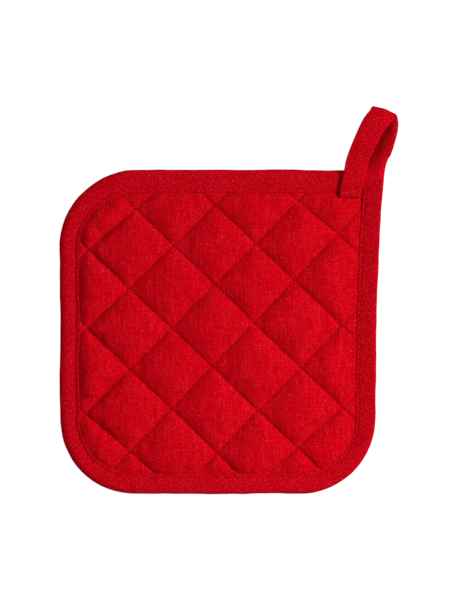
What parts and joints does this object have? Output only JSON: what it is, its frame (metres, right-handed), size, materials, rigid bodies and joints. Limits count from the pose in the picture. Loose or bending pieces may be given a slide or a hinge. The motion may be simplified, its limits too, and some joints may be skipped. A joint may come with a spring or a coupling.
{
  "type": "pot holder",
  "caption": "Square quilted cotton pot holder with rounded corners, bound edge and a folded tape hanging loop at one corner.",
  "frame": {"origin": "on the flat back of the middle pillow, where the pad rests, near the centre of the quilted square", "axes": "+Z out of the front of the pad, +Y towards the edge with the hanging loop, +X to the right seen from the front"},
  "size_m": [0.2095, 0.2404, 0.0153],
  "materials": {
    "panel_cloth": "matte",
    "tape_cloth": "matte",
    "sewing_thread": "matte",
    "wadding_fibre": "matte"
  },
  "bodies": {
    "pad": {"back_panel": "panel_cloth", "binding_thread_back": "sewing_thread", "binding_thread_front": "sewing_thread", "edge_binding": "tape_cloth", "front_panel": "panel_cloth", "loop_sewn_end": "tape_cloth", "loop_tack_thread_back": "sewing_thread", "loop_tack_thread_front": "sewing_thread", "quilting_thread_back_falling_1": "sewing_thread", "quilting_thread_back_falling_2": "sewing_thread", "quilting_thread_back_falling_3": "sewing_thread", "quilting_thread_back_falling_4": "sewing_thread", "quilting_thread_back_falling_5": "sewing_thread", "quilting_thread_back_falling_6": "sewing_thread", "quilting_thread_back_rising_1": "sewing_thread", "quilting_thread_back_rising_2": "sewing_thread", "quilting_thread_back_rising_3": "sewing_thread", "quilting_thread_back_rising_4": "sewing_thread", "quilting_thread_back_rising_5": "sewing_thread", "quilting_thread_back_rising_6": "sewing_thread", "quilting_thread_front_falling_1": "sewing_thread", "quilting_thread_front_falling_2": "sewing_thread", "quilting_thread_front_falling_3": "sewing_thread", "quilting_thread_front_falling_4": "sewing_thread", "quilting_thread_front_falling_5": "sewing_thread", "quilting_thread_front_falling_6": "sewing_thread", "quilting_thread_front_rising_1": "sewing_thread", "quilting_thread_front_rising_2": "sewing_thread", "quilting_thread_front_rising_3": "sewing_thread", "quilting_thread_front_rising_4": "sewing_thread", "quilting_thread_front_rising_5": "sewing_thread", "quilting_thread_front_rising_6": "sewing_thread", "wadding": "wadding_fibre"},
    "loop": {"hanging_loop": "tape_cloth", "loop_edge_thread_inner": "sewing_thread", "loop_edge_thread_outer": "sewing_thread"}
  },
  "joints": [
    {"name": "loop_hinge", "type": "hinge", "parent": "pad", "child": "loop", "pos_m": [0.0917, 0.105, 0.0075], "axis": [1, 0, 0], "range_deg": [-70, 90]}
  ]
}
